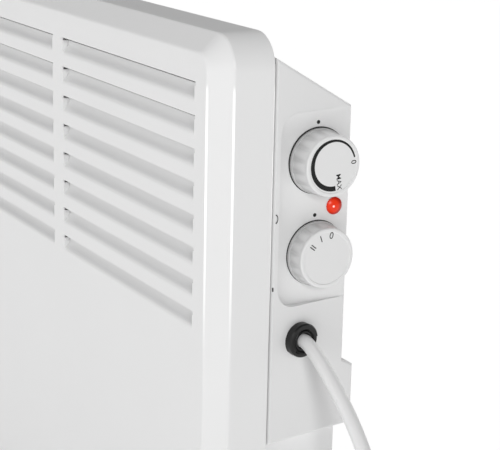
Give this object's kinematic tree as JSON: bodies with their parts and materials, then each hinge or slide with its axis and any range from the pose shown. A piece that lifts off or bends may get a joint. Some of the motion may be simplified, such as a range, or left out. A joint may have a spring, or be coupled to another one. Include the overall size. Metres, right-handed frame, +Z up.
{
  "type": "convector heater",
  "caption": "Free-standing panel convector heater with louvred steel front, side control cover, rotary thermostat and mode knobs, indicator lamp, feet and mains cord.",
  "frame": {"origin": "on the floor, under the middle of the heater's bounding box without its cord", "axes": "+Z up, the louvred front faces -Y, the control side faces +X"},
  "size_m": [0.695, 0.3005, 0.45],
  "materials": {
    "white_enamel": "satin powder coat",
    "cover_enamel": "satin powder coat",
    "knob_plastic": "fine satin moulding",
    "dark_moulding": "moulded phenolic",
    "gland_black": "satin nylon",
    "red_lens": "clear glossy lens",
    "plain_steel": "bare sheet",
    "bright_steel": "zinc plated",
    "bright_nickel": "nickel plated",
    "brass": "plain",
    "element_aluminium": "extruded, dull",
    "ceramic": "unglazed ceramic",
    "foot_plastic": "fine satin moulding",
    "rubber_pad": "matt",
    "cord_sheath": "smooth satin sheath",
    "plug_plastic": "satin moulding"
  },
  "bodies": {
    "heater": {"front_panel": "white_enamel", "rear_casing": "white_enamel", "control_cover": "cover_enamel", "bulkhead": "plain_steel", "heat_shield": "plain_steel", "element_body": "element_aluminium", "element_rod": "bright_steel", "element_bracket": "plain_steel", "ceramic_left": "ceramic", "ceramic_right": "ceramic", "cutout_arm": "plain_steel", "thermal_cutout": "dark_moulding", "thermostat_body": "dark_moulding", "switch_body": "dark_moulding", "control_screws": "bright_steel", "casing_screws": "bright_steel", "foot_screws": "bright_steel", "indicator_lens": "red_lens", "indicator_lamp": "dark_moulding", "gland_body": "gland_black", "gland_key": "gland_black", "terminal_block": "ceramic", "terminal_screws": "brass", "foot_left": "foot_plastic", "foot_right": "foot_plastic", "foot_pads": "rubber_pad", "power_cord": "cord_sheath", "cord_coil": "cord_sheath", "cord_tail": "cord_sheath", "plug_body": "plug_plastic", "plug_pins": "bright_nickel"},
    "thermostat": {"thermostat_knob": "knob_plastic", "thermostat_spindle": "bright_steel"},
    "mode_switch": {"switch_knob": "knob_plastic", "switch_spindle": "bright_steel"}
  },
  "joints": [
    {"name": "thermostat_turn", "type": "hinge", "parent": "heater", "child": "thermostat", "pos_m": [0.2855, 0.01975, 0.3784], "axis": [1, 0, 0], "range_deg": [-180, 90]},
    {"name": "mode_turn", "type": "hinge", "parent": "heater", "child": "mode_switch", "pos_m": [0.2855, 0.01975, 0.3264], "axis": [1, 0, 0], "range_deg": [-60, 0]}
  ]
}
